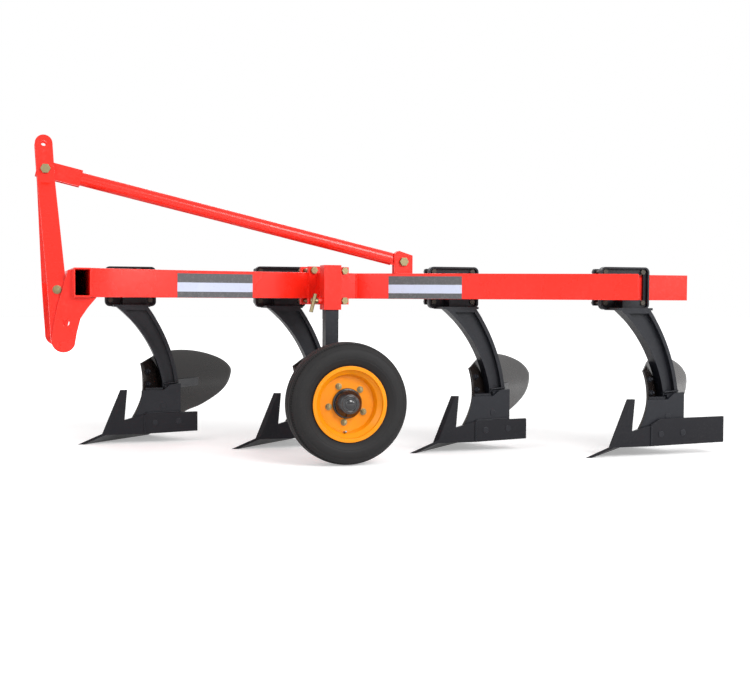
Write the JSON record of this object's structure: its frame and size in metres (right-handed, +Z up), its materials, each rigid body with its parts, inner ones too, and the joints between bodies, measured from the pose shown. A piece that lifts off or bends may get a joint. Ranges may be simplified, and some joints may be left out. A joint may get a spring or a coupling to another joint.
{
  "type": "mouldboard plough",
  "caption": "Tractor-mounted multi-furrow mouldboard plough with a diagonal beam frame, three-point linkage mast and a height-adjustable depth wheel.",
  "frame": {"origin": "on the floor under the middle of the plough's box", "axes": "+X to the rear, +Y to the plough's right (furrow side), +Z up"},
  "size_m": [2.6971, 1.3779, 1.182],
  "materials": {
    "red_paint": "gloss enamel",
    "black_casting": "satin black paint on castings",
    "black_blade": "satin black paint on steel",
    "board_steel": "gloss black paint on steel",
    "zinc_bolts": "yellow zinc plate",
    "tyre_rubber": "matt",
    "orange_paint": "gloss enamel",
    "hub_black": "satin"
  },
  "bodies": {
    "frame": {"cross_tube": "red_paint", "main_beam": "red_paint", "brace_beam": "red_paint", "leg_carrier_1": "red_paint", "leg_carrier_2": "red_paint", "leg_carrier_3": "red_paint", "leg_carrier_4": "red_paint", "hitch_plate_left": "red_paint", "hitch_plate_right": "red_paint", "mast_bar_left": "red_paint", "mast_bar_right": "red_paint", "strut": "red_paint", "strut_lugs": "red_paint", "wheel_bracket": "red_paint", "bracket_back_plate": "red_paint", "leg_1": "black_casting", "leg_2": "black_casting", "leg_3": "black_casting", "leg_4": "black_casting", "frog_1": "black_casting", "frog_2": "black_casting", "frog_3": "black_casting", "frog_4": "black_casting", "leg_clamp_plates": "black_casting", "board_stays": "black_casting", "share_1": "black_blade", "share_2": "black_blade", "share_3": "black_blade", "share_4": "black_blade", "landside_1": "black_blade", "landside_2": "black_blade", "landside_3": "black_blade", "landside_4": "black_blade", "mouldboard_1": "board_steel", "mouldboard_2": "board_steel", "mouldboard_3": "board_steel", "mouldboard_4": "board_steel", "leg_clamp_bolts": "zinc_bolts", "bracket_bolts": "zinc_bolts", "strut_bolts": "zinc_bolts", "clamp_handle": "zinc_bolts"},
    "wheel_leg": {"wheel_leg": "black_casting"},
    "wheel": {"tyre": "tyre_rubber", "rim": "orange_paint", "hub": "hub_black"}
  },
  "joints": [
    {"name": "wheel_height", "type": "slide", "parent": "frame", "child": "wheel_leg", "axis": [0, 0, 1], "range_m": [-0.05, 0.2]},
    {"name": "wheel_spin", "type": "hinge", "parent": "wheel_leg", "child": "wheel", "pos_m": [-0.282, -0.604, 0.221], "axis": [0, 1, 0], "continuous": true}
  ]
}
